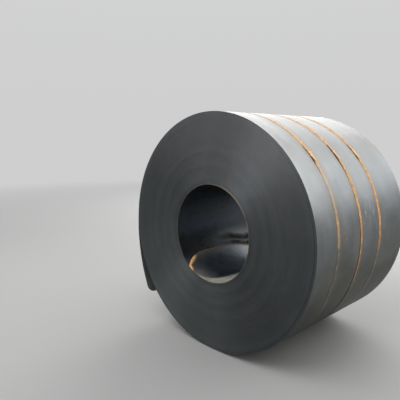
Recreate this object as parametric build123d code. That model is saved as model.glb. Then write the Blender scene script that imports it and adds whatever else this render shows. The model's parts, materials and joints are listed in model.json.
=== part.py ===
from build123d import *
import math
import os

# Coil of hot-rolled steel strip, lying on its side with its eye horizontal, held by three steel straps.
# The coil's axis runs along +Y, away from the viewer, and +Z is up. The lowest strap point is at Z = 0.
# Every angle is in degrees, counterclockwise from +X as seen from the front, which is the -Y end.
# The strip winds outward counterclockwise, from its inner end on the bore wall to its outer tail.

# Strip and winding
bore_d = 762.0
coil_od = 1850.0
strip_w = 1328.0
strip_t = 6.0

# Wander of the turns, which shows as steps on both ends, as the strip is as wide all along. Bands of
# turns stand out and lie back by turns, from the eye outward, and the last band runs to the rim.
eye_turns = 3
eye_set_back = 4.0
eye_step = 1.5
band_turns = (11, 9, 7, 9, 10, 31)
band_set_back = 3.0
rim_turns = 3
rim_set_back = 6.0

# Inner end of the strip, on the bore wall, with its corners rounded off
tongue_angle = 216.5
tongue_corner_r = 286.0
tongue_corner_run = 220.0

# Outer tail, which springs off the body
lift_off_angle = 172.0
tail_bend_r = 1338.0
tail_length = 825.0
tail_corner_r = 60.0
slit_root_gap = 1.5

# Straps, by the depth of each strap's middle behind the coil's front end
strap_depths = {"front": 273.0, "middle": 590.0, "back": 890.0}
strap_w = 32.0
strap_t = 1.0
strap_seat = 0.3
lap_length = 190.0

# Crimped seals, which wrap the lapped ends of each strap
seal_angle = 41.0
seal_length = 80.0
seal_gauge = 1.2
seal_slack = 0.2
seal_lip = 12.0
notch_w = 9.0
notch_depth = 5.0
notch_spacing = 36.0

# What follows from the driving sizes
bore_r = bore_d / 2
coil_length = strip_w + max(eye_set_back, band_set_back, rim_set_back)

# How far cutters reach past what they cut
overcut = 5.0


def polar(radius, angle):
    """The point at a radius and an angle, in the plane of the coil's end."""
    return Vector(radius * math.cos(math.radians(angle)), radius * math.sin(math.radians(angle)))


def direction(vector):
    """The angle of a vector."""
    return math.degrees(math.atan2(vector.Y, vector.X))


def prism(face, front, back):
    """A face drawn in the plane of the coil's end, made solid from one depth to another."""
    return extrude(Plane.XZ.offset(-back) * face, amount=back - front)


# The winding's outer surface is a four-centre spiral: it starts where the tail lifts off, and each
# quarter turn's arc is larger than the one before by a quarter of the strip's thickness.
quarter_growth = strip_t / 4
first_quarter_r = (coil_od - strip_t + quarter_growth) / 2


def quarter_start(k):
    return lift_off_angle + 90 * k


def quarter_centre(k):
    return polar(quarter_growth / math.sqrt(2), quarter_start(k) + 135)


def quarter_r(k):
    return first_quarter_r + quarter_growth * k


def winding_arc(k, start, end, height=0.0):
    """The winding's surface in quarter k, or a curve at a height above it."""
    return CenterArc(quarter_centre(k), quarter_r(k) + height, start, end - start)


def winding_point(k, angle, height=0.0):
    return quarter_centre(k) + polar(quarter_r(k) + height, angle)


# The tail leaves the winding along a tangent arc of a larger radius
tail_centre = quarter_centre(0) + polar(quarter_r(0) + strip_t - tail_bend_r, lift_off_angle)
tail_sweep = math.degrees(tail_length / tail_bend_r)
tail_tip_angle = lift_off_angle + tail_sweep


def slit_sweep():
    """How far round the tail's arc the gap under the tail has opened to the slit's root gap."""
    inner_r = tail_bend_r - strip_t
    apart = inner_r - quarter_r(0)
    reach = quarter_r(0) + slit_root_gap
    return math.degrees(math.acos((inner_r**2 + apart**2 - reach**2) / (2 * inner_r * apart)))


def coil_outline():
    """The coil's outer outline, with the sprung tail and the slit under it."""
    slit_start = lift_off_angle + slit_sweep()
    under_tail = CenterArc(tail_centre, tail_bend_r - strip_t, slit_start, tail_tip_angle - slit_start)
    over_tail = CenterArc(tail_centre, tail_bend_r, lift_off_angle, tail_sweep)
    slit_angle = direction(under_tail @ 0 - quarter_centre(0)) % 360
    body = [winding_arc(0, slit_angle, quarter_start(1))]
    body += [winding_arc(k, quarter_start(k), quarter_start(k + 1)) for k in (1, 2, 3)]
    tip = Line(over_tail @ 1, under_tail @ 1)
    root = Line(under_tail @ 0, body[0] @ 0)
    return make_face(body + [over_tail, tip, under_tail, root])


def eye_outline():
    """The bore: round on the first turn, then flat where the second turn climbs over the strip's end."""
    climb = math.degrees(math.acos(bore_r / (bore_r + strip_t)))
    wall = CenterArc((0, 0), bore_r, tongue_angle, 360 - climb)
    top_of_end = polar(bore_r + strip_t, tongue_angle)
    return make_face([wall, Line(wall @ 1, top_of_end), Line(top_of_end, wall @ 0)])


def end_steps():
    """The radius where each step of the ends starts, with its set-back, from the eye outward."""
    steps = [(bore_r + strip_t * k, eye_set_back - eye_step * k) for k in range(eye_turns)]
    rim_r = coil_od / 2 - strip_t * rim_turns
    band_r = bore_r + strip_t * eye_turns
    for k, turns in enumerate(band_turns + (0,)):
        if band_r < rim_r:
            steps.append((band_r, band_set_back * (k % 2)))
        band_r += strip_t * turns
    return steps + [(rim_r, rim_set_back)]


def turned_blank():
    """The turned body, oversize outside and in the bore, with the turns' steps on both ends."""
    steps = end_steps()
    starts = [bore_r - strip_t] + [radius for radius, set_back in steps[1:]]
    ends = starts[1:] + [coil_od / 2 + tail_length]
    front = []
    for start, end, step in zip(starts, ends, steps):
        front += [(start, step[1]), (end, step[1])]
    back = [(radius, depth + strip_w) for radius, depth in reversed(front)]
    return revolve(make_face(Polyline(front + back, close=True)), Axis.Y)


def corner_cutters(end_point, onward, arc_r, run, set_back, height):
    """What rounds off both corners of a strip end, whose strip runs onward from end_point.

    A corner is an arc tangent to the end's edge at the distance run from the strip's side, and each
    cutter reaches the given height above and below the strip's surface.
    """
    corner = CenterArc((arc_r, run), arc_r, 180, math.degrees(math.asin(run / arc_r)))
    side = corner @ 1
    outside = Polyline(side, (side.X, -overcut), (-overcut, -overcut), (-overcut, run), corner @ 0)
    plane = Plane(origin=(end_point.X, set_back, end_point.Y), x_dir=(onward.X, 0, onward.Y),
                  z_dir=(-onward.Y, 0, onward.X))
    front = extrude(plane * make_face([corner, outside]), amount=height, both=True)
    return [front, mirror(front, about=Plane.XZ.offset(-(set_back + strip_w / 2)))]


def make_coil():
    """The coil: one turned body, cut to the winding's outline and the eye, with both strip ends."""
    coil = turned_blank() & prism(coil_outline(), 0, coil_length)
    coil -= prism(eye_outline(), 0, coil_length)
    first_turn = prism(Circle(bore_r + strip_t), 0, coil_length)
    for cutter in corner_cutters(polar(bore_r, tongue_angle), polar(1, tongue_angle + 90),
                                 tongue_corner_r, tongue_corner_run, eye_set_back, bore_r / 2):
        coil -= cutter & first_turn
    tail_end = tail_centre + polar(tail_bend_r, tail_tip_angle)
    for cutter in corner_cutters(tail_end, polar(1, tail_tip_angle - 90),
                                 tail_corner_r, tail_corner_r, rim_set_back, 2 * strip_t):
        coil -= cutter
    return coil


# The strap passes over the seal's lips, so it is lifted off the coil along the seal
seal_lift = seal_gauge + seal_slack
seal_quarter = int((seal_angle - lift_off_angle) % 360 // 90)
seal_turn_angle = quarter_start(seal_quarter) + (seal_angle - lift_off_angle) % 90
seal_half_angle = math.degrees(seal_length / 2 / quarter_r(seal_quarter))


def bridge_landing(tip, height):
    """The quarter and the angle where a strap pulled taut from the tail's tip meets the winding."""
    for k in range(4):
        spoke = tip - quarter_centre(k)
        angle = direction(spoke) % 360 + math.degrees(math.acos((quarter_r(k) + height) / spoke.length))
        if angle < quarter_start(k + 1):
            return k, angle


def seal_rise(start, end, height):
    """The strap's path through the seal's quarter: up over the seal's lips, along them, and down."""
    k = seal_quarter
    foot_r = quarter_r(k) + height
    run_up = math.degrees(math.acos(foot_r / (foot_r + seal_lift)))
    rise, fall = seal_turn_angle - seal_half_angle, seal_turn_angle + seal_half_angle
    top = winding_arc(k, rise, fall, height + seal_lift)
    before = winding_arc(k, start, rise - run_up, height)
    after = winding_arc(k, fall + run_up, end, height)
    return [before, Line(before @ 1, top @ 0), top, Line(top @ 1, after @ 0), after]


def strap_path(height):
    """The closed taut path at a height above the coil: over the tail, straight off its tip, and round."""
    over_tail = CenterArc(tail_centre, tail_bend_r + height, lift_off_angle, tail_sweep)
    quarter, landing = bridge_landing(over_tail @ 1, height)
    path = [over_tail, Line(over_tail @ 1, winding_point(quarter, landing, height))]
    for k in range(quarter, 4):
        start = max(landing, quarter_start(k))
        end = quarter_start(k + 1)
        path += seal_rise(start, end, height) if k == seal_quarter else [winding_arc(k, start, end, height)]
    return make_face(path)


def strap_layer(height):
    """One thickness of strap round the whole coil, with its underside at a height above it."""
    return strap_path(height + strap_t) - strap_path(height)


def crimp_notches(depth):
    """Cutters for the seal's crimps: two triangular notches on each side, through seal and strap."""
    half_w = strap_w / 2 + seal_slack + seal_gauge
    mouth = half_w + overcut
    notch = make_face(Polyline((mouth, -notch_w / 2), (mouth, notch_w / 2), (half_w - notch_depth, 0),
                               close=True))
    cutters = []
    for offset in (-notch_spacing / 2, notch_spacing / 2):
        angle = seal_turn_angle + math.degrees(offset / quarter_r(seal_quarter))
        spot = winding_point(seal_quarter, angle)
        across = polar(1, angle)
        for side in (1, -1):
            plane = Plane(origin=(spot.X, depth, spot.Y), x_dir=(0, side, 0), z_dir=(across.X, 0, across.Y))
            cutters.append(extrude(plane * notch, amount=seal_lift + 2 * strap_t + overcut, both=True))
    return cutters


def make_strap(depth):
    """A flat strap with its two ends lapped under the seal."""
    reach = 2 * coil_od
    half_lap = math.degrees(lap_length / 2 / quarter_r(seal_quarter))
    sector = make_face(Polyline((0, 0), polar(reach, seal_angle - half_lap),
                                polar(reach, seal_angle + half_lap), close=True))
    lap = strap_layer(strap_seat + strap_t) & sector
    strap = prism(strap_layer(strap_seat) + lap, depth - strap_w / 2, depth + strap_w / 2)
    return strap - crimp_notches(depth)


def seal_section(depth):
    """The folded seal, cut across the strap: a top, two sides and two lips under the strap."""
    bottom = quarter_r(seal_quarter) + strap_seat
    strap_under = bottom + seal_lift
    strap_top = strap_under + 2 * strap_t
    inner_w = strap_w / 2 + seal_slack
    outer_w = inner_w + seal_gauge
    half = [(strap_top + seal_slack + seal_gauge, 0), (strap_top + seal_slack + seal_gauge, outer_w),
            (bottom, outer_w), (bottom, outer_w - seal_lip), (bottom + seal_gauge, outer_w - seal_lip),
            (bottom + seal_gauge, inner_w), (strap_top + seal_slack, inner_w), (strap_top + seal_slack, 0)]
    side = make_face(Polyline(half, close=True))
    return Pos(0, depth) * (side + mirror(side, about=Plane.XZ))


def make_seal(depth):
    """A crimped seal, bent to the coil's curve."""
    centre = quarter_centre(seal_quarter)
    bent = revolve(seal_section(depth), Axis.Y, 2 * seal_half_angle)
    seat = Pos(centre.X, 0, centre.Y) * Rot(0, -(seal_turn_angle + seal_half_angle), 0)
    return seat * bent - crimp_notches(depth)


# Everything is drawn about the coil's axis at the front end, then set down on the straps
lowest = strap_path(strap_seat + strap_t).bounding_box().min.Y
place = Pos(0, -coil_length / 2, -lowest)

os.makedirs("parts", exist_ok=True)
export_step(place * make_coil(), "parts/coil.step")
for name, depth in strap_depths.items():
    export_step(place * make_strap(depth), f"parts/strap_{name}.step")
    export_step(place * make_seal(depth), f"parts/seal_{name}.step")
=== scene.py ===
import json
import math

import bmesh
import bpy
import numpy as np
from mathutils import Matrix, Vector


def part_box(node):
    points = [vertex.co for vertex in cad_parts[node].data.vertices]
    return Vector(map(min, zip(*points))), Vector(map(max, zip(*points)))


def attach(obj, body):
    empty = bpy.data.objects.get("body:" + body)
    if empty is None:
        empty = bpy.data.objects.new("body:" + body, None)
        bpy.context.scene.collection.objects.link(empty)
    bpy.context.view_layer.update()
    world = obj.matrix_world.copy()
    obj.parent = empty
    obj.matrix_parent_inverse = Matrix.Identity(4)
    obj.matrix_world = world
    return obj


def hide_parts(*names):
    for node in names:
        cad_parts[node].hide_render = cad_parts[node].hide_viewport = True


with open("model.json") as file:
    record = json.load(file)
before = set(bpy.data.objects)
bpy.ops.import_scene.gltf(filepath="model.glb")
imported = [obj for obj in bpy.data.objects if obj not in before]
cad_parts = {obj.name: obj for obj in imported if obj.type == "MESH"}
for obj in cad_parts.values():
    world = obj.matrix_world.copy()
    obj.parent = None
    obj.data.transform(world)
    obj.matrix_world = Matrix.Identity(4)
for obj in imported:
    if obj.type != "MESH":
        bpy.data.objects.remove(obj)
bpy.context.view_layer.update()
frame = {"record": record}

# All lengths are in metres. Angles round the coil are in degrees, counterclockwise from +X as seen
# from the front, and a depth is measured from the coil's front end towards its back end. A turn tells
# a place along the strip: how many times the strip has gone round since its inner end.
MM = 0.001

# The winding's sizes, as the frame's record and the CAD have them
bore = next(mount for mount in frame["record"]["mounts"] if mount["name"] == "bore")
axis_z = bore["pos_m"][2]
front_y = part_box("coil")[0].y
bore_r = bore["dims"]["r_mm"] * MM
strip_w = bore["dims"]["length_mm"] * MM
strip_t = 6 * MM
tongue_angle = 216.5
tongue_corner_r = 286 * MM
tongue_corner_run = 220 * MM
lift_off_angle = 172.0
root_r = 922 * MM
tail_bend_r = 1338 * MM
tail_length = 825 * MM
tail_corner_r = 60 * MM

# Steps of the coil's ends: the turn in each step's middle, the set-back in millimetres after it, and how
# many turns the step takes
set_backs = ((0, 4, 1), (1, 2.5, 0.6), (2, 1, 0.6), (3, 0, 0.6), (14, 3, 5), (23, 0, 5), (30, 3, 5),
             (39, 0, 5), (49, 3, 5), (80, 0, 5), (87, 6, 0.6))

# How the turns lie: the small wander of each, and how many turns it takes until the climb over the
# strip's end has evened out
wander = 0.3 * MM
wander_knots_per_turn = 3
even_out_turns = 40

# Mesh of the winding. A station nearer to the next than the least step, in turns, or the least share of
# the tail is left out.
stations_per_turn = 150
least_step = 0.3 / stations_per_turn
least_tail_share = 0.01
turn_rounding = 1e-9
edge_inset = 1.5 * MM
edge_round = 1.2 * MM
groove_depth = 1.6 * MM
rows_near_side = [edge_round, 3 * MM, 8 * MM, 30 * MM]
skin_steps = 20
corner_steps = 12
tail_steps = 22
shell_gap = 0.05 * MM
coil_sharp_angle = 60

# Straps. Round the lap their stations are finer, and one nearer to the lap than a part of a turn is left
# out. Stations off the winding count as far from the seal.
strap_w = 32 * MM
strap_t = 1 * MM
strap_seat = 0.3 * MM
strap_edge_round = 0.25 * MM
lap_clearance = 0.05 * MM
lap_length = 190 * MM
tip_lift = 3 * MM
tip_lift_length = 30 * MM
half_lap_steps = 48
bridge_steps = 4
least_turn_apart = 0.002
far_from_seal = 1.0
strap_sharp_angle = 40
strap_depths = {name: (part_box("strap_" + name)[0].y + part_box("strap_" + name)[1].y) / 2 - front_y
                for name in ("front", "middle", "back")}

# Seals
seal_angle = 41.0
seal_length = 80 * MM
seal_gauge = 1.2 * MM
seal_slack = 0.2 * MM
seal_lip = 12 * MM
seal_fold_r = 1.8 * seal_gauge
seal_rise_length = 50 * MM
notch_w = 9 * MM
notch_depth = 5 * MM
notch_spacing = 36 * MM
crimp_power = 3
crimp_dip = 0.12
seal_steps = 48
seal_sharp_angle = 50

# How rusty each strap is, from 0 to 1, by the angle round the coil
strap_rust = {
    "front": ((-180, 0.5), (-120, 0.3), (-60, 0.0), (-6, 0.0), (0, 0.15), (5, 0.45), (10, 0.45), (16, 0.25),
              (24, 0.15), (32, 0.2), (38, 0.6), (42, 1.0), (50, 0.75), (60, 0.5), (90, 0.45), (180, 0.5)),
    "middle": ((-180, 0.7), (-120, 0.3), (-60, 0.5), (-24, 0.6), (-12, 0.75), (2, 0.9), (10, 1.0),
               (42, 1.0), (60, 0.7), (90, 0.6), (140, 0.7), (180, 0.7)),
    "back": ((-180, 0.4), (-120, 0.5), (-60, 0.0), (-16, 0.0), (-8, 0.3), (0, 0.7), (8, 0.95), (20, 0.95),
             (42, 1.0), (60, 0.7), (90, 0.6), (140, 0.5), (180, 0.4)),
}

# How far painted shadow covers each strap from its front side, 1 for a quarter of it and 2 for all of it: a
# black painted shadow where the strap stands off the coil and beside the seals
strap_soil = {
    "front": ((-180, 0.0), (36, 0.0), (38, 0.7), (45, 0.6), (48, 0.0), (180, 0.0)),
    "middle": ((-180, 0.4), (-100, 1.0), (-60, 2.0), (-32, 2.0), (-24, 1.5), (-10, 1.0), (14, 0.6), (30, 0.5),
               (35, 0.9), (45, 0.9), (48, 0.5), (56, 0.0), (180, 0.4)),
    "back": ((-180, 0.0), (36, 0.2), (39, 0.7), (44, 0.7), (48, 0.3), (54, 0.0), (180, 0.0)),
}

# How far painted shade covers each seal from its front side, and how much of that its upper end lacks
seal_soil = {"front": 0.72, "middle": 0.95, "back": 0.72}
seal_soil_fade = 0.4

# Studio: the floor, the backdrop, and each lamp's place, target, size and power in watts
floor_size = 200
floor_fade = (5.0, 14.0)
floor_tone = 0.4
horizon_tone = 0.62
zenith_tone = 0.7
zenith_from = 0.8
lamps = {
    "back_left_panel": ((-4.2, 7.8, 4.8), (0.0, 0.0, 0.9), (7.4, 8.0), 740),
    "back_right_panel": ((3.1, 7.8, 5.2), (0.0, 0.0, 0.9), (7.2, 5.6), 300),
    "left_fill": ((-4.6, -4.0, 2.8), (0.0, -0.6, 0.9), (2.4, 2.4), 35),
    "front_overhead": ((0.5, -3.2, 4.6), (0.0, -0.5, 0.9), (3.0, 3.0), 100),
}

# Camera, as solved from the photograph's curves: its lens and sensor are in millimetres
camera_place = (2.3073, -2.9929, 1.6523)
camera_pitch = 90 - 8.056
camera_turn = 46.079
camera_lens = 39.285
camera_sensor = 36.0

# What follows from the sizes above
root_turn = round((root_r - bore_r) / strip_t) - (tongue_angle - lift_off_angle) / 360
pitch = (root_r - bore_r) / root_turn
climb = math.degrees(math.acos(bore_r / (bore_r + strip_t))) / 360
body_steps = int((root_turn - 1) * stations_per_turn)
tail_sweep = math.degrees(tail_length / tail_bend_r)
seal_lift = seal_gauge + seal_slack
skin_rows = rows_near_side + [strip_w * k / skin_steps for k in range(1, skin_steps)]
skin_rows += [strip_w - row for row in reversed(rows_near_side)]


def polar(radius, angle):
    """A point in the plane of the coil's end."""
    return np.array((radius * math.cos(math.radians(angle)), radius * math.sin(math.radians(angle))))


def place(point, depth):
    """A point of that plane at a depth, in the frame."""
    return (point[0], front_y + depth, axis_z + point[1])


def turn_angle(turn):
    """The angle where the strip is, that many turns after its inner end."""
    return tongue_angle + 360 * turn


tail_centre = polar(root_r + strip_t - tail_bend_r, lift_off_angle)


def inner_r(turn):
    """The radius of the strip's inner side: round on the first turn, with the climb over the strip's
    end at its close, and evening out to a spiral in the turns outside it."""
    whole = math.floor(turn + turn_rounding)
    share = turn - whole
    past = max(0.0, share - (1 - climb))
    stepped = (bore_r / math.cos(math.radians(360 * past)) - bore_r) / strip_t
    evenness = min(1.0, whole / even_out_turns)
    return bore_r + pitch * (whole + (1 - evenness) * stepped + evenness * share)


# The wander at each knot, with knots for a few turns to spare
wander_knots = np.random.default_rng(7).uniform(-1, 1, int((root_turn + 3) * wander_knots_per_turn))


def set_back(turn):
    """How far the strip's edge lies behind the coil's end, with the small wander of each turn."""
    level = set_backs[0][1]
    for (middle, depth, turns), (_, before, _) in zip(set_backs[1:], set_backs):
        level += (depth - before) * min(1.0, max(0.0, (turn - middle) / turns + 0.5))
    spot = turn * wander_knots_per_turn
    knot = int(spot)
    ease = (1 - math.cos(math.pi * (spot - knot))) / 2
    stray = wander_knots[knot] * (1 - ease) + wander_knots[knot + 1] * ease
    return max(0.0, level * MM + wander * (1 + stray))


class Shell:
    """The points and faces of one mesh, as they are added."""

    def __init__(self):
        self.points = []
        self.faces = []
        self.finishes = []
        self.marks = {"rust": [], "soil": [], "dust": []}

    def row(self, points, **marks):
        """A row of points. Each mark is one level for the row or a list of the points' levels."""
        start = len(self.points)
        self.points += points
        for name, levels in self.marks.items():
            level = marks.get(name, 0.0)
            levels += level if isinstance(level, list) else [level] * len(points)
        return list(range(start, len(self.points)))

    def face(self, corners, finish):
        """A face between points, with the number of its finish among the piece's materials."""
        self.faces.append(corners)
        self.finishes.append(finish)

    def between(self, first, second, finish):
        """Quads between two rows of as many points."""
        for a, b, c, d in zip(first, first[1:], second[1:], second):
            self.face((a, b, c, d), finish)

    def skin(self, rows, finish):
        """Quads between each row and the next."""
        for first, second in zip(rows, rows[1:]):
            self.between(first, second, finish)

    def make(self, name, materials, sharp_angle):
        """The piece made of them, which shows an edge where its faces turn by more than the angle."""
        mesh = bpy.data.meshes.new(name)
        mesh.from_pydata(self.points, [], self.faces)
        mesh.polygons.foreach_set("material_index", self.finishes)
        for mark, levels in self.marks.items():
            mesh.attributes.new(mark, "FLOAT", "POINT").data.foreach_set("value", levels)
        for material in materials:
            mesh.materials.append(material)
        work = bmesh.new()
        work.from_mesh(mesh)
        bmesh.ops.recalc_face_normals(work, faces=work.faces)
        work.to_mesh(mesh)
        work.free()
        mesh.shade_smooth()
        mesh.set_sharp_from_angle(angle=math.radians(sharp_angle))
        piece = bpy.data.objects.new(name, mesh)
        bpy.context.scene.collection.objects.link(piece)
        return piece


# Which finish a face of the winding takes
EDGE, BARREL, BORE = range(3)


def edge_points(turn, inner, outer, inner_depth, outer_depth, mirror):
    """The four points of the strip's edge at a station: two rounded corners and the flat between them."""
    back = set_back(turn)
    across = (outer - inner) / np.linalg.norm(outer - inner)
    points = [(inner, inner_depth), (inner + across * edge_inset, back),
              (outer - across * edge_inset, back), (outer, outer_depth)]
    if mirror:
        points = [(point, 2 * back + strip_w - depth) for point, depth in points]
    return [place(*point) for point in points]


def groove(turn):
    """The depth of the groove between a turn and the one inside it."""
    return max(set_back(turn), set_back(turn - 1)) + groove_depth


def body_end(shell, turns, mirror):
    """The strip edges on one end of the winding: a row of points at each turn, from its inner side to its
    outer side. A turn with another outside it shares the last point of its row with that one."""
    rows = []
    for k, turn in enumerate(turns):
        angle = turn_angle(turn)
        inner, outer = polar(inner_r(turn), angle), polar(inner_r(turn + 1), angle)
        outside = k + stations_per_turn > body_steps
        outer_depth = set_back(turn) + edge_round if outside else groove(turn + 1)
        points = edge_points(turn, inner, outer, groove(turn), outer_depth, mirror)
        rows.append(shell.row(points if outside else points[:3]))
    for row, next_out in zip(rows, rows[stations_per_turn:]):
        row.append(next_out[0])
    shell.skin(rows, EDGE)
    return rows


def body_skin(shell, turns, front, back, corner, finish):
    """One turn of the strip's inner or outer side, between the rows of points on the two ends."""
    skins = []
    for turn, front_row, back_row in zip(turns, front, back):
        radius = inner_r(turn) if finish == BORE else inner_r(turn + 1)
        point = polar(radius, turn_angle(turn))
        middle = [place(point, set_back(turn) + row) for row in skin_rows[1:-1]]
        skins.append([front_row[corner]] + shell.row(middle) + [back_row[corner]])
    shell.skin(skins, finish)
    shell.between(skins[0], skins[-1], finish)
    cut = 0 if finish == BORE else -1
    for rows in (front, back):
        shell.face(tuple(rows[cut]), finish)


def body_shell(shell):
    """The winding from its second turn to where the tail lifts off, as one closed shell."""
    turns = [root_turn - (body_steps - k) / stations_per_turn for k in range(body_steps + 1)]
    front, back = body_end(shell, turns, False), body_end(shell, turns, True)
    for part, corner, finish in ((slice(stations_per_turn + 1), 0, BORE),
                                 (slice(-stations_per_turn - 1, None), 3, BARREL)):
        body_skin(shell, turns[part], front[part], back[part], corner, finish)


def smooth_step(value):
    """A soft step from 0 to 1, for a value from 0 to 1."""
    value = min(1.0, max(0.0, value))
    return value * value * (3 - 2 * value)


def fade(distance, reach):
    """1 at no distance, falling to 0 at the reach."""
    return max(0.0, 1 - distance / reach)


def tongue_rust(from_end, from_side):
    """How rusty the strip's inner end is: much at its rounded corners, and a little along its end."""
    near = fade(from_end, 180 * MM)
    corner_width = 80 * MM * near + 1 * MM
    corner = smooth_step(1.3 - 1.3 * from_side / corner_width) * min(1.0, 3 * near)
    corner *= smooth_step((from_end - 5 * MM) / (45 * MM))
    end = fade(from_end, 30 * MM) * fade(from_side, 600 * MM)
    smear = fade(from_end, 110 * MM) * fade(from_side, 420 * MM)
    return max(corner, 0.35 * end, 0.2 * smear)


def tail_rust(from_end, _):
    """How rusty the strip's outer end is: a little, next to the cut."""
    return 0.3 * fade(from_end, 14 * MM)


def ribbon(shell, stations, rust_at, dust=0.0):
    """A length of strip as a closed shell. A station is its turn, its inner and outer points, the depth
    of the groove outside it, how far its corners are cut back and how far it is from the free end."""
    rims = {False: [], True: []}
    inside, outside = [], []
    for turn, inner, outer, groove_at, cut, from_end in stations:
        back = set_back(turn)
        depth = groove_at if groove_at and not cut else back + edge_round
        for mirror in rims:
            points = edge_points(turn, inner, outer, back + edge_round, depth, mirror)
            shift = -cut if mirror else cut
            points = [(x, y + shift, z) for x, y, z in points]
            rims[mirror].append(shell.row(points, rust=rust_at(from_end, 0.0)))
        for rows, point, corner, dusty in ((inside, inner, 0, dust), (outside, outer, 3, 0.0)):
            width = strip_w - 2 * cut
            middle = []
            rust = []
            for row in skin_rows[1:-1]:
                spot = row * width / strip_w if cut else row
                middle.append(place(point, back + cut + spot))
                rust.append(rust_at(from_end, min(spot, width - spot)))
            rows.append([rims[False][-1][corner]] + shell.row(middle, rust=rust, dust=dusty)
                        + [rims[True][-1][corner]])
    for mirror in rims:
        shell.skin(rims[mirror], EDGE)
        for k in (0, -1):
            shell.face(tuple(rims[mirror][k]), EDGE)
    shell.skin(inside, BORE)
    shell.skin(outside, BARREL)
    for k in (0, -1):
        shell.between(inside[k], outside[k], EDGE)


def corner_cut(from_end, radius, run):
    """How far a rounded corner cuts into the strip's side, at a distance from the strip's end."""
    reach = radius - math.sqrt(radius**2 - run**2)
    return run - math.sqrt(radius**2 - (radius - from_end) ** 2) if from_end < reach else 0.0


def corner_stations(radius, run):
    """Distances from the strip's end that divide its rounded corner evenly."""
    sweep = math.asin(run / radius)
    return [radius * (1 - math.cos(sweep * k / corner_steps)) for k in range(corner_steps + 1)]


def first_turn_shell(shell):
    """The first turn of strip, from its rounded inner end on the bore wall to the second turn."""
    end_turn = root_turn - body_steps / stations_per_turn
    lengths = corner_stations(tongue_corner_r, tongue_corner_run)
    turns = [math.degrees(length / bore_r) / 360 for length in lengths]
    grid = [end_turn - k / stations_per_turn for k in range(stations_per_turn, -1, -1)]
    turns += [turn for turn in grid if turn > turns[-1] + least_step]
    turns[-1] -= shell_gap / (2 * math.pi * bore_r)
    stations = []
    for turn in turns:
        from_end = math.radians(360 * turn) * bore_r
        cut = corner_cut(from_end, tongue_corner_r, tongue_corner_run)
        angle = turn_angle(turn)
        outer = polar(inner_r(turn + 1) - shell_gap, angle)
        stations.append((turn, polar(inner_r(turn), angle), outer, groove(turn + 1), cut, from_end))
    ribbon(shell, stations, tongue_rust)


def tail_point(share, height=0.0):
    """A point on the tail's outer side or at a height over it, by the share of the tail's length."""
    return tail_centre + polar(tail_bend_r + height, lift_off_angle + tail_sweep * share)


def tail_shares():
    """The stations along the tail, closer together at its rounded tip."""
    lengths = corner_stations(tail_corner_r, tail_corner_r)
    even = [shell_gap / tail_length] + [k / tail_steps for k in range(1, tail_steps)]
    near_tip = [1 - length / tail_length for length in reversed(lengths)]
    return [share for share in even if share < near_tip[0] - least_tail_share] + near_tip


def tail_shell(shell):
    """The sprung tail, from where it lifts off the body to its tip."""
    stations = []
    for share in tail_shares():
        turn = root_turn + share * tail_length / (2 * math.pi * root_r)
        from_end = tail_length * (1 - share)
        cut = corner_cut(from_end, tail_corner_r, tail_corner_r)
        stations.append((turn, tail_point(share, -strip_t), tail_point(share), 0.0, cut, from_end))
    ribbon(shell, stations, tail_rust, 1.0)


def winding_turn(angle):
    """How many turns after its inner end the strip's last turn passes an angle."""
    return root_turn - ((lift_off_angle - angle) % 360) / 360


def winding_station(turn):
    """A point on the winding's outer side, with the direction that points away from it."""
    angle = turn_angle(turn)
    return polar(inner_r(turn + 1), angle), polar(1, angle)


def bridge_landing():
    """The turn where a strap pulled taut from the tail's tip meets the winding."""
    tip = tail_point(1.0)
    tip_angle = math.degrees(math.atan2(tip[1], tip[0]))
    reach = math.degrees(math.acos((root_r + strap_seat) / np.linalg.norm(tip)))
    return winding_turn(tip_angle + reach)


def strap_route(first, last, grid):
    """The strap's way round the coil, from one turn over the tail's tip to another: points, outward
    directions, and the turn of each point that lies on the winding."""
    landing = bridge_landing()
    route = [(*winding_station(turn), turn) for turn in grid if turn > last + least_turn_apart]
    for share in tail_shares()[1:]:
        route.append((tail_point(share), polar(1, lift_off_angle + tail_sweep * share), None))
    tip, (ground, outward) = route[-1][0], winding_station(landing)
    for k in range(1, bridge_steps):
        route.append((tip * (1 - k / bridge_steps) + ground * k / bridge_steps, outward, None))
    body = [landing] + [turn for turn in grid if landing <= turn]
    return route + [(*winding_station(turn), turn) for turn in body if turn < first - least_turn_apart]


def strap_stations():
    """The strap's route from its covered end to its top end: points, outward directions, the distance
    from the seal's middle, and whether the strap lies on its own first layer."""
    half_lap = math.degrees(lap_length / 2 / root_r) / 360
    seal_turn = winding_turn(seal_angle)
    lap_steps = range(-half_lap_steps, half_lap_steps + 1)
    lap_turns = [seal_turn + k * half_lap / half_lap_steps for k in lap_steps]
    lap = [(*winding_station(turn), turn) for turn in lap_turns]
    grid = [root_turn - k / stations_per_turn for k in range(stations_per_turn - 1, -1, -1)]
    route = lap + strap_route(seal_turn - half_lap, seal_turn + half_lap, grid)
    stations = []
    for k, (point, outward, turn) in enumerate(route + lap):
        offset = math.radians(360 * (turn - seal_turn)) * root_r if turn else far_from_seal
        stations.append((point, outward, offset, k >= len(route)))
    return stations


def strap_height(offset, upper):
    """The height of the strap's underside over the coil, at a distance from the seal's middle."""
    over_seal = smooth_step((seal_length / 2 + seal_rise_length - abs(offset)) / seal_rise_length)
    height = strap_seat + seal_lift * over_seal
    if upper:
        height += strap_t + lap_clearance
        height += tip_lift * max(0.0, (offset - lap_length / 2 + tip_lift_length) / tip_lift_length) ** 2
    elif -lap_length / 2 - seal_rise_length < offset < -lap_length / 2:
        height += (strap_t + lap_clearance) * smooth_step(1 + (offset + lap_length / 2) / seal_rise_length)
    return height


def crimp(offset):
    """How far the seal's jaws pushed the strap's sides in, at a distance from the seal's middle."""
    nearest = min(abs(offset - side * notch_spacing / 2) for side in (1, -1))
    return notch_depth * smooth_step(1 - nearest / (notch_w / 2))


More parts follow.
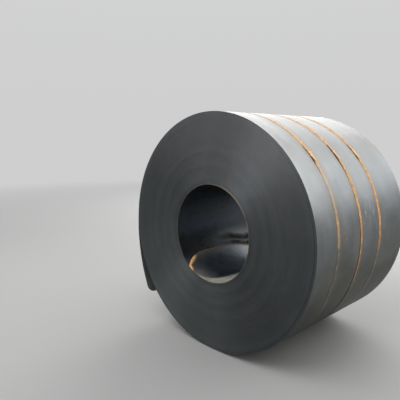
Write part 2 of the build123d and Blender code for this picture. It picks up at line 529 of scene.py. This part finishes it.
def make_strap(name, materials):
    """A flat strap round the coil, with its two ends lapped under the seal and its sides crimped there."""
    shell = Shell()
    bevel = strap_edge_round
    rows = []
    for point, outward, offset, upper in strap_stations():
        half = strap_w / 2 - crimp(offset)
        low = strap_height(offset, upper)
        high = low + strap_t
        section = [(-half + bevel, low), (half - bevel, low), (half, low + bevel), (half, high - bevel),
                   (half - bevel, high), (0.0, high), (-half + bevel, high), (-half, high - bevel),
                   (-half, low + bevel)]
        angle = math.degrees(math.atan2(point[1], point[0]))
        rust = float(np.interp(angle, *zip(*strap_rust[name])))
        cover = float(np.interp(angle, *zip(*strap_soil[name])))
        # The black along the strap's front side is painted shadow.
        soil = [min(1.0, cover) if side < 0 else max(0.0, cover - 1) for side, h in section]
        depth = strap_depths[name]
        points = [place(point + outward * h, depth + side) for side, h in section]
        rows.append(shell.row(points, rust=rust, soil=soil))
    shell.skin([row + row[:1] for row in rows], 0)
    shell.face(tuple(rows[0]), 0)
    shell.face(tuple(rows[-1]), 0)
    piece = shell.make("strap_band_" + name, materials, strap_sharp_angle)
    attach(piece, "root")
    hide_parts("strap_" + name)


def rounded_fold(corners, radius, steps=4):
    """A line through corners, with each inner corner rounded."""
    line = [np.array(corners[0])]
    for before, corner, after in zip(corners, corners[1:], corners[2:]):
        before, corner, after = np.array(before), np.array(corner), np.array(after)
        start = corner + (before - corner) / np.linalg.norm(before - corner) * radius
        end = corner + (after - corner) / np.linalg.norm(after - corner) * radius
        for k in range(steps + 1):
            t = k / steps
            line.append((1 - t) ** 2 * start + 2 * t * (1 - t) * corner + t**2 * end)
    return line + [np.array(corners[-1])]


def seal_section():
    """The folded sheet cut across the strap, as a closed ring of (side, height) points."""
    middle = seal_gauge / 2
    low = strap_seat + middle
    high = strap_seat + seal_lift + 2 * strap_t + lap_clearance + seal_slack + middle
    half = strap_w / 2 + seal_slack + middle
    lip = half + middle - seal_lip
    line = rounded_fold([(-lip, low), (-half, low), (-half, high), (half, high), (half, low), (lip, low)],
                        seal_fold_r)
    outer, inner = [], []
    for k, point in enumerate(line):
        along = line[min(k + 1, len(line) - 1)] - line[max(k - 1, 0)]
        normal = np.array((-along[1], along[0])) / np.linalg.norm(along)
        outer.append(point + normal * middle)
        inner.append(point - normal * middle)
    return outer + inner[::-1]


def seal_ring(name, offset, section):
    """The seal's section at a distance from its middle, pushed in where the jaws crimped it."""
    point, outward = winding_station(winding_turn(seal_angle) + math.degrees(offset / root_r) / 360)
    push = crimp(offset)
    ring = []
    for side, height in section:
        squeeze = min(push, push * (abs(side) / (strap_w / 2)) ** crimp_power)
        on_top = height > 2 * strap_seat + seal_gauge
        lowered = point + outward * (height - crimp_dip * push * on_top)
        ring.append(place(lowered, strap_depths[name] + side - math.copysign(squeeze, side)))
    return ring


def make_seal(name, materials):
    """A seal folded round the lapped strap ends, with two crimps on each side."""
    shell = Shell()
    section = seal_section()
    rows = []
    for k in range(seal_steps + 1):
        offset = seal_length * (k / seal_steps - 0.5)
        # The dark brown along the seal's front side is painted shade.
        cover = seal_soil[name] * (1 - seal_soil_fade * k / seal_steps)
        soil = [cover if side < 0 else 0.0 for side, height in section]
        rows.append(shell.row(seal_ring(name, offset, section), soil=soil))
    shell.skin([row + row[:1] for row in rows], 0)
    half_ring = len(section) // 2
    for row in (rows[0], rows[-1]):
        shell.between(row[:half_ring], row[:half_ring - 1:-1], 0)
    piece = shell.make("seal_clip_" + name, materials, seal_sharp_angle)
    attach(piece, "root")
    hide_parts("seal_" + name)


class Nodes:
    """The nodes of a material or a world, added by short calls that give each new node's output."""

    def __init__(self, owner, shader="Principled BSDF"):
        self.owner = owner
        owner.use_nodes = True
        self.tree = owner.node_tree
        self.shader = self.tree.nodes[shader]

    def add(self, kind, inputs, **settings):
        """Any node, by its kind. This call alone gives the node itself."""
        node = self.tree.nodes.new("ShaderNode" + kind)
        for key, value in settings.items():
            setattr(node, key, value)
        for key, value in inputs.items():
            self.set(node.inputs[key], value)
        return node

    def set(self, socket, value):
        """Links another node's output to a socket, or sets a constant on it."""
        if isinstance(value, bpy.types.NodeSocket):
            self.tree.links.new(value, socket)
        else:
            socket.default_value = value

    def finish(self, **values):
        """Sets the shader's sockets, with _ for a space in their names, and gives the material or world."""
        for name, value in values.items():
            self.set(self.shader.inputs[name.replace("_", " ")], value)
        return self.owner

    def math(self, operation, first, second=0.0, clamp=False):
        """An operation on numbers, clamped to between 0 and 1 if asked."""
        return self.add("Math", {0: first, 1: second}, operation=operation, use_clamp=clamp).outputs[0]

    def plus(self, first, second, clamp=False):
        """A sum."""
        return self.math("ADD", first, second, clamp)

    def times(self, first, second, clamp=False):
        """A product."""
        return self.math("MULTIPLY", first, second, clamp)

    def vector_math(self, operation, first, second=(0, 0, 0), output="Vector"):
        """An operation on vectors, whose output is a vector or a value."""
        return self.add("VectorMath", {0: first, 1: second}, operation=operation).outputs[output]

    def noise(self, vector, scale, detail=3.0, roughness=0.55):
        """Soft noise, nearly all of it between 0.3 and 0.7."""
        inputs = {"Vector": vector, "Scale": scale, "Detail": detail, "Roughness": roughness}
        return self.add("TexNoise", inputs).outputs["Fac"]

    def ramp(self, value, low, high, to_low=0.0, to_high=1.0):
        """A value's place between two limits, held between the two results."""
        inputs = {"Value": value, "From Min": low, "From Max": high, "To Min": to_low, "To Max": to_high}
        return self.add("MapRange", inputs).outputs["Result"]

    def swing(self, noise, size):
        """Noise as a swing of that size to both sides of 0."""
        return self.ramp(noise, 0.3, 0.7, -size, size)

    def angle_ramp(self, value, low, high, to_low=0.0, to_high=1.0):
        """A ramp of an angle in radians, with the limits in degrees."""
        return self.ramp(value, math.radians(low), math.radians(high), to_low, to_high)

    def mix(self, factor, first, second):
        """A colour between two."""
        return self.add("Mix", {0: factor, 6: first, 7: second}, data_type="RGBA").outputs[2]

    def position(self):
        """The place in the frame."""
        return self.add("TexCoord", {}).outputs["Object"]

    def attribute(self, name):
        """A mark of the mesh's points."""
        return self.add("Attribute", {}, attribute_name=name).outputs["Fac"]

    def bump(self, height, distance, strength, normal=None):
        """Fine relief in the shading alone, on top of another one if that is given."""
        inputs = {"Height": height, "Distance": distance, "Strength": strength}
        if normal is not None:
            inputs["Normal"] = normal
        return self.add("Bump", inputs).outputs["Normal"]

    def polar_position(self):
        """The radius from the coil's axis, the direction out from it, the place along it, and the height
        over it."""
        centred = self.vector_math("SUBTRACT", self.position(), (0, 0, axis_z))
        parts = self.add("SeparateXYZ", {0: centred})
        across = self.vector_math("MULTIPLY", centred, (1, 0, 1))
        radius = self.vector_math("LENGTH", across, output="Value")
        return radius, self.vector_math("NORMALIZE", across), parts.outputs["Y"], parts.outputs["Z"]


def grey(level, red=1.0, green=1.0, blue=1.0):
    """A grey of a level, tinted by a factor for each of its parts."""
    return (level * red, level * green, level * blue, 1.0)


def rust_colour(nodes, position, scale, dark, bright):
    """Rust that goes from a dark brown to a bright orange in spots."""
    spots = nodes.noise(position, scale, 6.0, 0.65)
    return nodes.mix(nodes.ramp(spots, 0.32, 0.66), (*dark, 1), (*bright, 1))


def strip_rust(nodes, position, level):
    """The rust on the strip: a dull brown where there is little of it, and orange where there is much."""
    spots = nodes.noise(position, 60.0, 6.0, 0.65)
    tone = nodes.plus(nodes.swing(spots, 0.3), level)
    brown, orange = (0.13, 0.08, 0.045, 1), (0.88, 0.52, 0.2, 1)
    return nodes.mix(nodes.ramp(tone, 0.2, 0.9), brown, orange)


def rust_cover(nodes, level):
    """How much of the steel under it the rust hides."""
    return nodes.times(level, 2.5, True)


def winding_streaks(nodes, unit, along, fineness):
    """Noise drawn out round the coil."""
    depth = nodes.add("CombineXYZ", {"Y": nodes.times(along, fineness)})
    spot = nodes.vector_math("ADD", nodes.vector_math("MULTIPLY", unit, (0.9, 0, 0.9)), depth.outputs[0])
    return nodes.noise(spot, 1.0, 5.0, 0.6)


def beside_straps(nodes, along, reach, full):
    """How near a spot is to a strap: 0 at a distance from its middle line and 1 at a smaller one."""
    near = 0.0
    for depth in strap_depths.values():
        apart = nodes.math("ABSOLUTE", nodes.math("SUBTRACT", along, front_y + depth))
        near = nodes.math("MAXIMUM", nodes.ramp(apart, reach, full), near)
    return near


def rust_wash(nodes, position, along, height):
    """Where rust has washed off the straps and the seals onto the coil next to them, from 0 to 1."""
    wash = nodes.times(beside_straps(nodes, along, 36 * MM, 14 * MM),
                       nodes.ramp(height, -0.25, 0.05, 0.0, 0.75))
    for depth in strap_depths.values():
        spot = nearness(nodes, position, seal_angle - 1.0, depth + 8 * MM, 58 * MM)
        wash = nodes.math("MAXIMUM", nodes.times(spot, 0.75), wash)
    patches = nodes.ramp(nodes.noise(position, 60.0, 8.0, 0.75), 0.44, 0.56, 0.15, 0.85)
    return nodes.times(wash, patches)


def lower_painted_shade(nodes, height, clouds):
    """How much painted shade darkens the coil's lower half, with an olive tint that is a painted reflection
    of the ground.
    """
    level = nodes.plus(height, nodes.swing(clouds, 0.15))
    return nodes.ramp(level, 0.25, -0.35, 0.0, 0.8)


def nearness(nodes, position, angle, depth, reach):
    """How near a place on the coil's outside is: 0 at the reach, and 1 from 0.3 of the reach on."""
    apart = nodes.vector_math("DISTANCE", position, place(polar(root_r, angle), depth), "Value")
    return nodes.ramp(apart, reach, 0.3 * reach)


def barrel_scale(nodes, along, height, streaks, clouds, mottle):
    """The colour of the barrel's mill scale: paler on top, lighter near the front with painted light, darker
    at the far top with painted shade, and darker below with painted shade and a painted ground reflection.
    """
    dark_scale, light_scale = grey(0.19, 0.92, 1.0, 1.05), grey(0.29, 0.95, 1.0, 1.03)
    top_pale_grey, far_painted_shade_grey = (0.28, 0.272, 0.252, 1), (0.17, 0.16, 0.14, 1)
    front_painted_light_grey, soil = grey(0.42, 1.0, 1.0, 0.98), (0.075, 0.08, 0.06, 1)
    tone = nodes.plus(nodes.times(streaks, 0.3), nodes.times(clouds, 0.45))
    tone = nodes.plus(tone, nodes.times(mottle, 0.25))
    colour = nodes.mix(nodes.ramp(tone, 0.34, 0.66), dark_scale, light_scale)
    # Paler and warmer towards the top.
    colour = nodes.mix(nodes.ramp(height, 0.45, 0.9, 0.0, 0.6), colour, top_pale_grey)
    # Lighter near the front: painted light.
    front_painted_light = nodes.ramp(along, front_y, front_y + 260 * MM, 0.45, 0.0)
    front_painted_light = nodes.plus(front_painted_light, nodes.swing(clouds, 0.12), True)
    front_painted_light = nodes.times(front_painted_light, nodes.ramp(height, 0.05, 0.35))
    colour = nodes.mix(front_painted_light, colour, front_painted_light_grey)
    # Darker at the far end of the top: painted shade.
    dusty = nodes.times(nodes.ramp(along, 0.1, 0.6, 0.0, 0.3), nodes.ramp(height, 0.5, 0.8))
    colour = nodes.mix(dusty, colour, far_painted_shade_grey)
    # Darker below: painted shade, tinted olive as a painted ground reflection.
    return nodes.mix(lower_painted_shade(nodes, height, clouds), colour, soil)


def strap_stains(nodes, colour, position, along, height, clouds):
    """The barrel's colour with the brown stains beside its straps and the rust washed off them."""
    stained, washed_rust = (0.21, 0.175, 0.13, 1), (0.37, 0.265, 0.175, 1)
    stain = nodes.times(beside_straps(nodes, along, 85 * MM, 20 * MM),
                        nodes.ramp(clouds, 0.35, 0.65, 0.1, 0.6))
    colour = nodes.mix(stain, colour, stained)
    return nodes.mix(rust_wash(nodes, position, along, height), colour, washed_rust)


def barrel_scuffs(nodes, position, lines):
    """Pale scratches round the barrel, from 0 to 1: most of them at one place between two straps."""
    scuffed = nodes.math("MAXIMUM", nearness(nodes, position, 11.0, 740 * MM, 0.2),
                         nodes.ramp(nodes.noise(position, 2.2, 2.0, 0.5), 0.6, 0.7, 0.0, 0.45))
    return nodes.times(nodes.ramp(lines, 0.58, 0.66), scuffed)


def barrel_rust(nodes, position, lines):
    """How rusty the barrel is: a few patches, some flecks beside a strap, and the strip's two ends."""
    flecks = nodes.times(nodes.ramp(lines, 0.56, 0.64, 0.0, 0.6),
                         nearness(nodes, position, 4.5, 362 * MM, 0.07))
    patches = nodes.ramp(nodes.noise(position, 7.0, 8.0, 0.7), 0.66, 0.8, 0.0, 0.5)
    return nodes.math("MAXIMUM", nodes.math("MAXIMUM", patches, flecks), nodes.attribute("rust"))


def barrel_material():
    """Mill scale: blue-grey satin with streaks round the coil, scuffs, stains and a little rust."""
    nodes = Nodes(bpy.data.materials.new("mill_scale"))
    _, unit, along, height = nodes.polar_position()
    position = nodes.position()
    streaks = winding_streaks(nodes, unit, along, 26.0)
    lines = winding_streaks(nodes, nodes.vector_math("MULTIPLY", unit, (12, 0, 12)), along, 170.0)
    clouds = nodes.noise(position, 3.0, 4.0, 0.55)
    mottle = nodes.noise(position, 45.0, 5.0, 0.6)
    colour = barrel_scale(nodes, along, height, streaks, clouds, mottle)
    colour = strap_stains(nodes, colour, position, along, height, clouds)
    colour = nodes.mix(barrel_scuffs(nodes, position, lines), colour, grey(0.6, 0.95, 1.0, 1.08))
    rust = barrel_rust(nodes, position, lines)
    colour = nodes.mix(rust_cover(nodes, rust), colour, strip_rust(nodes, position, rust))
    gloss = nodes.ramp(nodes.plus(mottle, streaks), 0.7, 1.3, 0.36, 0.5)
    relief = nodes.bump(nodes.noise(position, 320.0, 3.0, 0.6), 0.15 * MM, 0.5)
    return nodes.finish(Base_Color=colour, Metallic=nodes.ramp(rust, 0.0, 0.4, 0.85, 0.1),
                        Specular_Tint=grey(0.7), Roughness=nodes.plus(gloss, nodes.times(rust, 0.35)),
                        Normal=nodes.bump(clouds, 4 * MM, 0.35, relief))


def wall_angle(nodes, unit):
    """The angle round the coil in radians, from -pi to pi."""
    parts = nodes.add("SeparateXYZ", {0: unit})
    return nodes.math("ARCTAN2", parts.outputs["Z"], parts.outputs["X"])


def bore_dust(nodes, unit, along, height, mottle):
    """Dust on the bottom of the bore, from 0 to 1: it lies to one side of the lowest line, and reaches
    up the other side only next to the two mouths."""
    from_mouth = nodes.math("SUBTRACT", strip_w / 2, nodes.math("ABSOLUTE", along))
    tilt = nodes.plus(nodes.add("SeparateXYZ", {0: unit}).outputs["X"], nodes.swing(mottle, 0.012))
    decay = nodes.math("EXPONENT", nodes.math("DIVIDE", from_mouth, -65 * MM))
    brink = nodes.times(decay, -0.45)
    heap = nodes.ramp(nodes.math("SUBTRACT", tilt, brink), -0.03, 0.06)
    heap = nodes.times(heap, nodes.ramp(tilt, 0.56, 0.42))
    film = nodes.times(nodes.ramp(height, -0.25, -0.36, 0.0, 0.5), nodes.ramp(from_mouth, 190 * MM, 20 * MM))
    dust = nodes.math("MAXIMUM", nodes.times(heap, nodes.ramp(height, -0.3, -0.33)), film)
    return nodes.times(dust, nodes.ramp(from_mouth, 380 * MM, 660 * MM, 1.0, 0.35))


def climb_painted_shade(nodes, past_end, along, drift):
    """The painted shade deep in the bore, a dark band on both sides of the strip's inner end, from 0 to 1."""
    slant = nodes.times(along, -0.38)
    angle = nodes.plus(nodes.plus(past_end, slant), nodes.swing(drift, 0.03))
    first, last = nodes.angle_ramp(angle, -15, -10), nodes.angle_ramp(angle, 6, 1.5)
    gap = nodes.math("ABSOLUTE", nodes.math("SUBTRACT", angle, math.radians(-4.3)))
    stain = nodes.times(nodes.times(first, last), nodes.angle_ramp(gap, 0.3, 2.2, 0.4, 1.0))
    return nodes.times(stain, nodes.ramp(along, -0.27, -0.02, 0.0, 0.85))


def end_painted_highlight(nodes, past_end, along):
    """Where a painted highlight lies past the strip's inner end, from 0 to 1: deep in, past the painted
    shade.
    """
    painted_highlight = nodes.times(nodes.angle_ramp(past_end, 4, 11), nodes.angle_ramp(past_end, 27, 15))
    return nodes.times(painted_highlight, nodes.ramp(along, -0.2, 0.1))


def bore_scale(nodes, past_end, along, mottle, in_bore):
    """The colour of the strip's inner side: in the bore, black with painted shade before the strip's end, and
    lighter past it with a painted highlight.
    """
    dark_scale, light_scale = grey(0.062, 0.86, 1.0, 1.2), grey(0.105, 0.88, 1.0, 1.17)
    painted_shade_black, painted_highlight_steel = (0.03, 0.033, 0.027, 1), grey(0.15, 1.02, 1.0, 0.92)
    colour = nodes.mix(mottle, dark_scale, light_scale)
    # Black before the strip's end: painted shade.
    before_end = nodes.times(nodes.angle_ramp(past_end, -34, -18),
                             nodes.angle_ramp(past_end, 4, -2, 0.0, 0.72))
    colour = nodes.mix(nodes.times(before_end, in_bore), colour, painted_shade_black)
    # Lighter steel past the strip's end: painted highlight.
    painted_highlight = nodes.times(end_painted_highlight(nodes, past_end, along), in_bore)
    return nodes.mix(nodes.times(painted_highlight, 0.65), colour, painted_highlight_steel)


def bore_material():
    """The strip's inner side: dark scale, rusty at the strip's end and dusty below, with painted shade and a
    painted highlight deep in the bore by the strip's inner end.
    """
    # The first colour here is the black of the painted shade deep in the bore.
    stained, tail_dust = (0.022, 0.021, 0.019, 1), (0.09, 0.105, 0.087, 1)
    brown_dust, pale_dust = (0.26, 0.254, 0.215, 1), (0.36, 0.348, 0.3, 1)
    nodes = Nodes(bpy.data.materials.new("bore_scale"))
    radius, unit, along, height = nodes.polar_position()
    position = nodes.position()
    mottle = nodes.noise(position, 16.0, 5.0, 0.6)
    in_bore = nodes.ramp(radius, 0.6, 0.5)
    past_end = nodes.math("SUBTRACT", wall_angle(nodes, unit), math.radians(tongue_angle - 360))
    colour = bore_scale(nodes, past_end, along, mottle, in_bore)
    # Painted shade: a dark band deep in the bore by the strip's inner end.
    stain = climb_painted_shade(nodes, past_end, along, nodes.noise(position, 6.0, 3.0, 0.5))
    patches = nodes.ramp(mottle, 0.35, 0.6, 0.75, 1.0)
    stain = nodes.times(nodes.times(stain, patches), in_bore)
    colour = nodes.mix(stain, colour, stained)
    under_tail = nodes.times(nodes.attribute("dust"), nodes.ramp(mottle, 0.3, 0.7, 0.6, 1.0))
    colour = nodes.mix(under_tail, colour, tail_dust)
    dust = nodes.times(bore_dust(nodes, unit, along, height, mottle), in_bore)
    dust_tone = nodes.mix(nodes.ramp(mottle, 0.35, 0.65), brown_dust, pale_dust)
    colour = nodes.mix(dust, colour, dust_tone)
    rust = nodes.attribute("rust")
    rusted = rust_cover(nodes, rust)
    colour = nodes.mix(rusted, colour, strip_rust(nodes, position, rust))
    cover = nodes.math("MAXIMUM", nodes.math("MAXIMUM", dust, rusted), under_tail)
    gloss = nodes.ramp(mottle, 0.3, 0.7, 0.25, 0.35)
    dull = nodes.times(nodes.math("MAXIMUM", cover, stain), 0.5)
    return nodes.finish(Base_Color=colour, Metallic=nodes.ramp(cover, 0.0, 1.0, 0.8, 0.1),
                        Specular_Tint=grey(0.6), Roughness=nodes.plus(gloss, dull),
                        Normal=nodes.bump(nodes.noise(position, 9.0, 1.0), 1 * MM, 0.2))


def eye_rim(nodes, radius, unit, clouds):
    """How much the innermost turns' edges have weathered, from 0 to 1, and the tone of that: a tan on several
    turns at the upper right, partly rust and partly painted highlight, and a dark brown on the first turn
    elsewhere."""
    brown, rust_and_highlight_tan = (0.085, 0.07, 0.045, 1), (0.2, 0.15, 0.118, 1)
    # The tan at the upper right is partly rust and partly painted highlight.
    side = nodes.vector_math("DOT_PRODUCT", unit, (0.574, 0.0, 0.819), "Value")
    side = nodes.plus(nodes.ramp(side, 0.7, 1.0), nodes.swing(clouds, 0.35), True)
    past = nodes.math("DIVIDE", nodes.math("SUBTRACT", radius, bore_r), strip_t)
    reach = nodes.ramp(side, 0.0, 1.0, 1.0, 2.7)
    rim = nodes.ramp(nodes.math("SUBTRACT", reach, past), -0.4, 0.8)
    return rim, nodes.mix(side, brown, rust_and_highlight_tan)


def band_tone(nodes, radius):
    """The tone of the bands of turns, by radius: each band is a little lighter or darker, and the recessed
    outermost turns are lightened with painted light.
    """
    bands = nodes.add("ValToRGB", {"Fac": nodes.ramp(radius, bore_r, root_r)})
    # The light stops from 0.972 to 0.99 are painted light over the shade of the recessed outermost turns.
    stops = ((0.0, 0.3), (0.03, 0.3), (0.1, 0.62), (0.21, 0.4), (0.29, 0.6), (0.37, 0.4), (0.48, 0.62),
             (0.6, 0.4), (0.68, 0.5), (0.78, 0.4), (0.86, 0.45), (0.92, 0.65), (0.965, 0.6), (0.972, 0.95),
             (0.99, 0.8), (1.0, 0.45))
    elements = bands.color_ramp.elements
    elements[0].color = grey(stops[0][1])
    elements[1].color = grey(stops[-1][1])
    for spot, level in stops[1:-1]:
        elements.new(spot).color = grey(level)
    return bands.outputs["Color"]


def edge_scale(nodes, radius, height, position, turn_tone, clouds):
    """The colour of the strip's edges: each turn a little different, lighter towards the top and right with
    painted light, and darker towards the bottom with painted shade.
    """
    dark_edge, light_edge = grey(0.065, 0.91, 1.0, 1.05), grey(0.13, 0.91, 1.0, 1.05)
    painted_light_grey, soiled, brown = (0.17, 0.165, 0.175, 1), (0.05, 0.055, 0.05, 1), (0.09, 0.06, 0.045, 1)
    tone = nodes.plus(nodes.times(turn_tone, 0.6), nodes.times(clouds, 0.15))
    tone = nodes.plus(tone, nodes.times(band_tone(nodes, radius), 0.25))
    colour = nodes.mix(nodes.ramp(tone, 0.34, 0.66), dark_edge, light_edge)
    # Painted light: lighter towards the top and right; painted shade: darker towards the bottom.
    right = nodes.times(nodes.add("SeparateXYZ", {0: position}).outputs["X"], 0.2)
    painted_light_level = nodes.plus(nodes.plus(height, right), nodes.swing(clouds, 0.08))
    colour = nodes.mix(nodes.ramp(painted_light_level, 0.2, 1.0, 0.0, 0.5), colour, painted_light_grey)
    colour = nodes.mix(nodes.ramp(painted_light_level, -0.1, -0.6, 0.0, 0.4), colour, soiled)
    patches = nodes.ramp(nodes.noise(position, 9.0, 6.0, 0.7), 0.52, 0.75, 0.0, 0.3)
    return nodes.mix(patches, colour, brown)


def edge_material():
    """The strip's edges, which make the coil's ends: charcoal, with a brushed sheen round the coil."""
    nodes = Nodes(bpy.data.materials.new("strip_edges"))
    radius, unit, _, height = nodes.polar_position()
    position = nodes.position()
    rings = nodes.add("CombineXYZ", {"X": nodes.times(radius, 60.0)})
    ring_place = nodes.vector_math("ADD", rings.outputs[0], nodes.vector_math("MULTIPLY", unit, (0, 0, 0.8)))
    turn_tone = nodes.noise(ring_place, 2.6, 6.0, 0.75)
    clouds = nodes.noise(position, 5.0, 4.0, 0.6)
    colour = edge_scale(nodes, radius, height, position, turn_tone, clouds)
    rim, rim_tone = eye_rim(nodes, radius, unit, nodes.noise(position, 14.0, 4.0, 0.65))
    colour = nodes.mix(nodes.times(rim, 0.85), colour, rim_tone)
    rust = nodes.attribute("rust")
    colour = nodes.mix(rust_cover(nodes, rust), colour, strip_rust(nodes, position, rust))
    dull = nodes.math("MAXIMUM", nodes.times(rim, 0.4), rust)
    tangent = nodes.add("Tangent", {}, direction_type="RADIAL", axis="Y").outputs[0]
    return nodes.finish(Base_Color=colour, Metallic=nodes.ramp(dull, 0.0, 0.4, 0.8, 0.1),
                        Roughness=nodes.ramp(turn_tone, 0.3, 0.7, 0.55, 0.65),
                        Anisotropic=0.8, Anisotropic_Rotation=0.25, Tangent=tangent,
                        Normal=nodes.bump(nodes.noise(position, 500.0, 2.0), 0.15 * MM, 0.5))


def strap_material():
    """Strap steel: grey where little of it has rusted, orange where much has, darker low down with painted
    shade, and black with painted shadow along its front side.
    """
    grey_steel, tan_steel = grey(0.24, 1.0, 0.98, 0.92), (0.37, 0.34, 0.26, 1)
    soiled_steel, soiled_rust = (0.06, 0.063, 0.05, 1), (0.17, 0.09, 0.06, 1)
    black_soil = (0.045, 0.033, 0.026, 1)
    nodes = Nodes(bpy.data.materials.new("strap_steel"))
    position = nodes.position()
    *_, height = nodes.polar_position()
    patches = nodes.noise(position, 22.0, 5.0, 0.6)
    level = nodes.plus(nodes.attribute("rust"), nodes.swing(patches, 0.25))
    rust = nodes.ramp(level, 0.15, 0.7)
    orange = rust_colour(nodes, position, 45.0, (0.5, 0.23, 0.08), (0.92, 0.56, 0.26))
    # Darker low down: painted shade.
    lower_shade = lower_painted_shade(nodes, height, patches)
    orange = nodes.mix(nodes.times(lower_shade, 1.2), orange, soiled_rust)
    steel = nodes.mix(nodes.ramp(level, -0.15, 0.25), grey_steel, tan_steel)
    steel = nodes.mix(lower_shade, steel, soiled_steel)
    # Painted shadow along the strap's front side, drawn black.
    cover = nodes.plus(nodes.attribute("soil"), nodes.swing(patches, 0.15))
    soil = nodes.ramp(cover, 0.42, 0.6)
    dull = nodes.math("MAXIMUM", rust, soil)
    return nodes.finish(Base_Color=nodes.mix(soil, nodes.mix(rust, steel, orange), black_soil),
                        Metallic=nodes.ramp(dull, 0.0, 1.0, 0.7, 0.0),
                        Roughness=nodes.ramp(dull, 0.0, 1.0, 0.5, 0.75),
                        Normal=nodes.bump(nodes.noise(position, 260.0, 4.0), 0.3 * MM, 0.6))


def seal_material():
    """Seal steel: rusted bright orange, and dark brown with painted shade along its front side."""
    dark_soil = (0.1, 0.055, 0.035, 1)
    nodes = Nodes(bpy.data.materials.new("seal_steel"))
    position = nodes.position()
    drift = nodes.swing(nodes.noise(position, 60.0, 4.0, 0.6), 0.2)
    # Painted shade along the seal's front side, drawn dark brown.
    soil = nodes.ramp(nodes.plus(nodes.attribute("soil"), drift), 0.45, 0.62)
    orange = rust_colour(nodes, position, 70.0, (0.62, 0.31, 0.11), (0.95, 0.62, 0.3))
    return nodes.finish(Base_Color=nodes.mix(soil, orange, dark_soil), Metallic=0.1, Roughness=0.62,
                        Normal=nodes.bump(nodes.noise(position, 300.0, 4.0), 0.3 * MM, 0.6))


def make_coil():
    """The wound coil, of three closed shells."""
    shell = Shell()
    body_shell(shell)
    first_turn_shell(shell)
    tail_shell(shell)
    finishes = (edge_material(), barrel_material(), bore_material())
    piece = shell.make("coil_wound", finishes, coil_sharp_angle)
    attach(piece, "root")
    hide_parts("coil")


def make_floor():
    """A plain pale floor, whose far part fades into the studio's backdrop."""
    bpy.ops.mesh.primitive_plane_add(size=floor_size)
    floor = bpy.context.object
    floor.name = "floor"
    nodes = Nodes(bpy.data.materials.new("floor"))
    floor.data.materials.append(nodes.finish(Base_Color=grey(floor_tone, 1.0, 0.995, 0.98), Roughness=0.9))
    away = nodes.vector_math("LENGTH", nodes.position(), output="Value")
    glow = nodes.add("Emission", {"Color": grey(horizon_tone), "Strength": 1.0})
    far = nodes.ramp(away, *floor_fade)
    mixed = nodes.add("MixShader", {0: far, 1: nodes.shader.outputs[0], 2: glow.outputs[0]})
    nodes.set(nodes.tree.nodes["Material Output"].inputs["Surface"], mixed.outputs[0])


def make_world():
    """A soft dome of light, pale at the horizon and brightest overhead."""
    world = bpy.data.worlds.new("studio")
    bpy.context.scene.world = world
    nodes = Nodes(world, "Background")
    outward = nodes.add("TexCoord", {}).outputs["Generated"]
    height = nodes.add("SeparateXYZ", {0: outward}).outputs["Z"]
    rise = nodes.add("MapRange", {"Value": height, "From Max": zenith_from}, interpolation_type="SMOOTHSTEP")
    zenith = grey(zenith_tone, 0.985, 1.0, 1.01)
    nodes.finish(Color=nodes.mix(rise.outputs["Result"], grey(horizon_tone), zenith))


def add_lamp(name, location, target, size, power):
    """A lamp panel that points at a target and isn't seen itself."""
    lamp = bpy.data.lights.new(name, "AREA")
    lamp.shape = "RECTANGLE"
    lamp.size, lamp.size_y = size
    lamp.energy = power
    holder = bpy.data.objects.new(name, lamp)
    holder.location = location
    holder.rotation_mode = "QUATERNION"
    holder.rotation_quaternion = (Vector(target) - Vector(location)).to_track_quat("-Z", "Y")
    holder.visible_camera = False
    bpy.context.scene.collection.objects.link(holder)


def make_camera():
    """The camera, at the photograph's angle."""
    camera = bpy.data.cameras.new("camera")
    camera.lens = camera_lens
    camera.sensor_width = camera_sensor
    holder = bpy.data.objects.new("camera", camera)
    holder.location = camera_place
    holder.rotation_euler = (math.radians(camera_pitch), 0, math.radians(camera_turn))
    bpy.context.scene.collection.objects.link(holder)
    bpy.context.scene.camera = holder


make_coil()
strap_finish = strap_material()
seal_finish = seal_material()
for name in strap_depths:
    make_strap(name, [strap_finish])
    make_seal(name, [seal_finish])
make_floor()
make_world()
for lamp_name, lamp in lamps.items():
    add_lamp(lamp_name, *lamp)
make_camera()
bpy.context.scene.view_settings.view_transform = "Standard"
